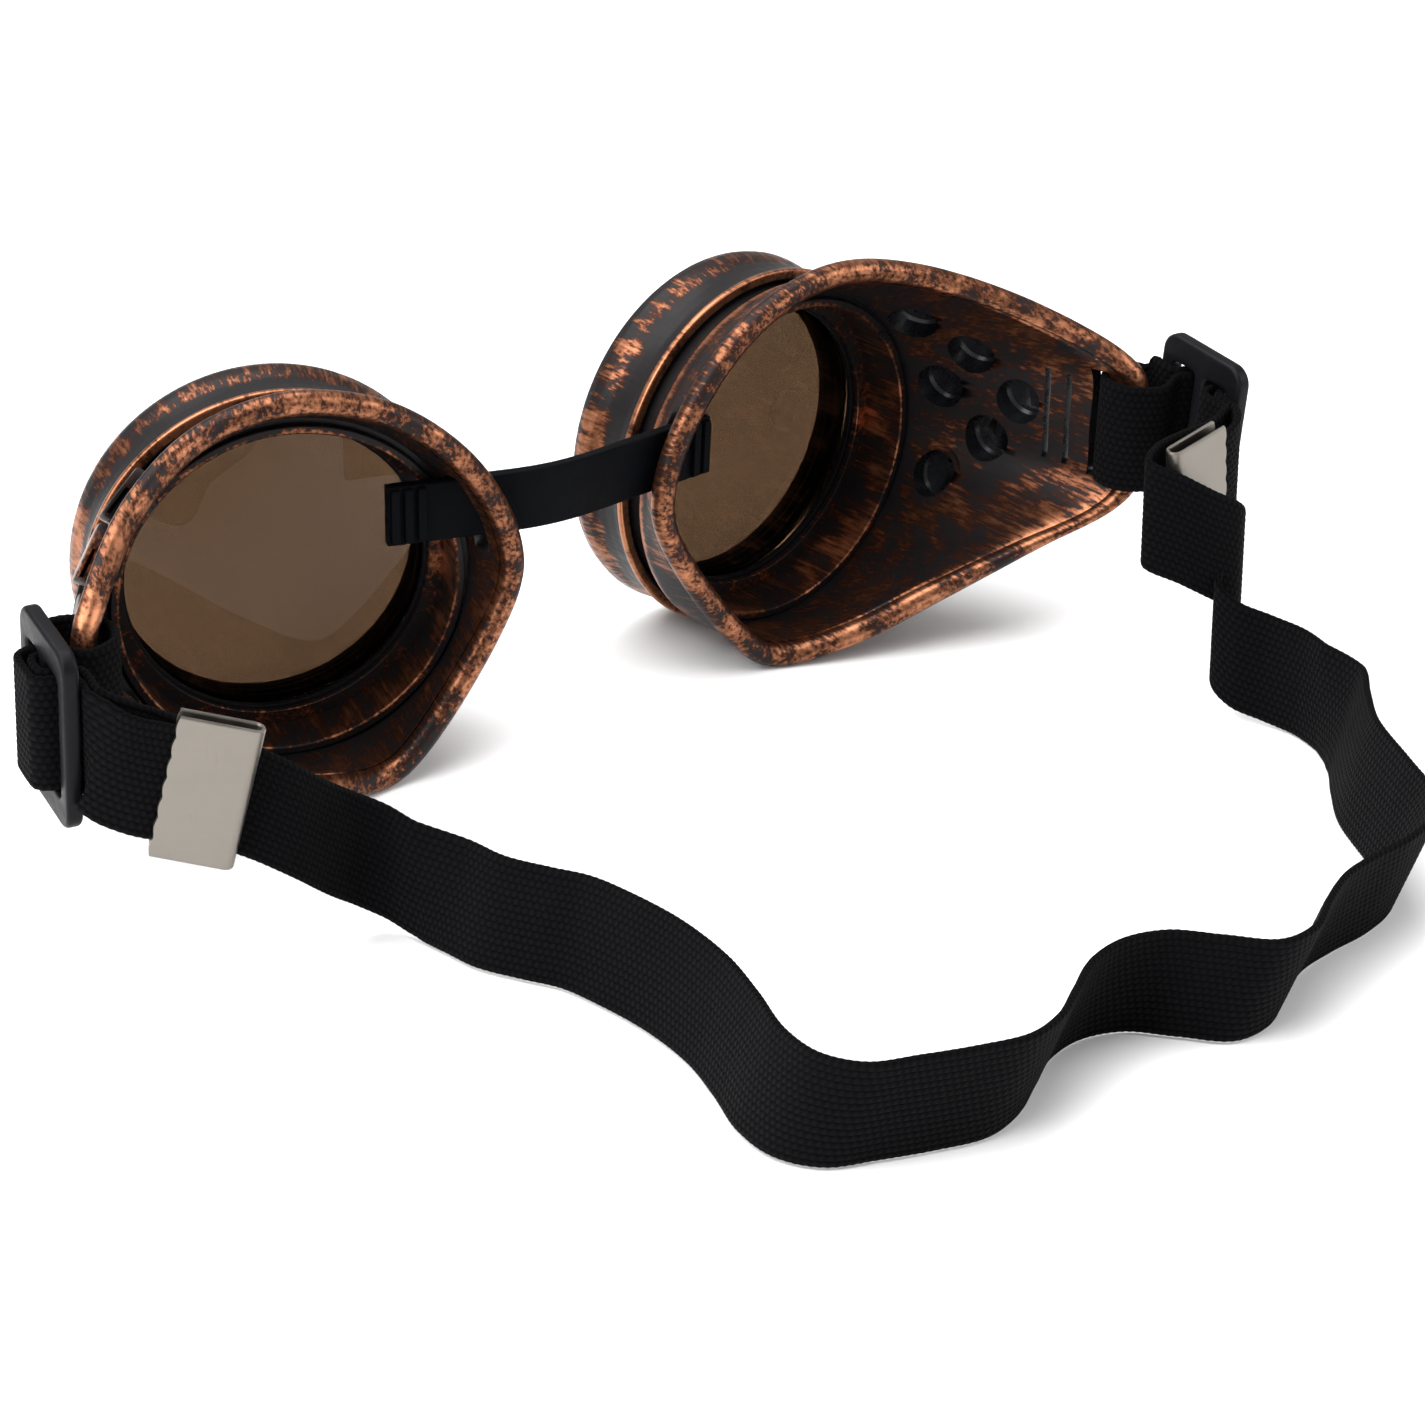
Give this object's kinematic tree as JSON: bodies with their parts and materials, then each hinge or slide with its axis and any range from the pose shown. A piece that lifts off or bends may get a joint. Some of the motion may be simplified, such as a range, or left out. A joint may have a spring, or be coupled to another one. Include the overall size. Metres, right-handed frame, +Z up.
{
  "type": "welding goggles",
  "caption": "Round-lens welding goggles with deep side-shielded eye cups, screwed lens rings, a flexible nose bridge and an elastic head strap.",
  "frame": {"origin": "the middle of the object's box, on the surface it stands on", "axes": "+Z up, +Y the way the wearer looks, +X towards the wearer's right"},
  "size_m": [0.216, 0.191, 0.0668],
  "materials": {
    "copper_cup": "black moulded plastic with dry-brushed antique copper paint, bright on the rims",
    "copper_ring": "black moulded plastic with antique copper paint brushed round the edges",
    "gasket_rubber": "black rubber ring",
    "smoked_lens": "brown smoked filter",
    "cover_lens": "clear cover plate",
    "fibre": "dark fibre washer",
    "bridge_rubber": "smooth black flexible strip",
    "elastic_webbing": "black knitted elastic with fine cross ribs",
    "black_nylon": "satin black nylon",
    "nickel_clip": "nickel-plated sheet steel"
  },
  "bodies": {
    "left_cup": {"left_eye_cup": "copper_cup", "left_seat_gasket": "gasket_rubber", "left_filter_lens": "smoked_lens", "left_spacer_washer": "fibre", "left_cover_lens": "cover_lens", "left_nose_bridge": "bridge_rubber", "left_strap_half": "elastic_webbing", "left_end_clip": "nickel_clip"},
    "left_ring_carrier": {"left_slip_washer": "fibre"},
    "left_ring": {"left_retaining_ring": "copper_ring"},
    "left_slider": {"left_strap_slider": "black_nylon"},
    "right_cup": {"right_eye_cup": "copper_cup", "right_seat_gasket": "gasket_rubber", "right_filter_lens": "smoked_lens", "right_spacer_washer": "fibre", "right_cover_lens": "cover_lens", "right_nose_bridge": "bridge_rubber", "right_strap_half": "elastic_webbing", "right_end_clip": "nickel_clip"},
    "right_ring_carrier": {"right_slip_washer": "fibre"},
    "right_ring": {"right_retaining_ring": "copper_ring"},
    "right_slider": {"right_strap_slider": "black_nylon"}
  },
  "joints": [
    {"name": "bridge_fold", "type": "hinge", "parent": "left_cup", "child": "right_cup", "pos_m": [0.00012, 0.05355, 0.04123], "axis": [0, 0, 1], "range_deg": [-25, 20], "deforming": ["left_nose_bridge", "right_nose_bridge", "left_strap_half", "right_strap_half"]},
    {"name": "left_ring_travel", "type": "slide", "parent": "left_cup", "child": "left_ring_carrier", "axis": [0.2118, 0.9753, 0.0628], "range_m": [0, 0.006]},
    {"name": "left_ring_turn", "type": "hinge", "parent": "left_ring_carrier", "child": "left_ring", "pos_m": [-0.0454, 0.07218, 0.03111], "axis": [0.2118, 0.9753, 0.0628], "range_deg": [0, 720]},
    {"name": "left_slider_slide", "type": "slide", "parent": "left_cup", "child": "left_slider", "axis": [-0.0805, -0.9892, -0.1226], "range_m": [0, 0.006], "deforming": ["left_strap_half"]},
    {"name": "right_ring_travel", "type": "slide", "parent": "right_cup", "child": "right_ring_carrier", "axis": [-0.2118, 0.9753, 0.0628], "range_m": [0, 0.006]},
    {"name": "right_ring_turn", "type": "hinge", "parent": "right_ring_carrier", "child": "right_ring", "pos_m": [0.0454, 0.08018, 0.03111], "axis": [-0.2118, 0.9753, 0.0628], "range_deg": [0, 720]},
    {"name": "right_slider_slide", "type": "slide", "parent": "right_cup", "child": "right_slider", "axis": [0.0805, -0.9892, -0.1226], "range_m": [0, 0.006], "deforming": ["right_strap_half"]}
  ],
  "couplings": [
    {"joint": "left_ring_travel", "follows": "left_ring_turn", "m_per_rad": 0.00047746},
    {"joint": "right_ring_travel", "follows": "right_ring_turn", "m_per_rad": 0.00047746}
  ]
}
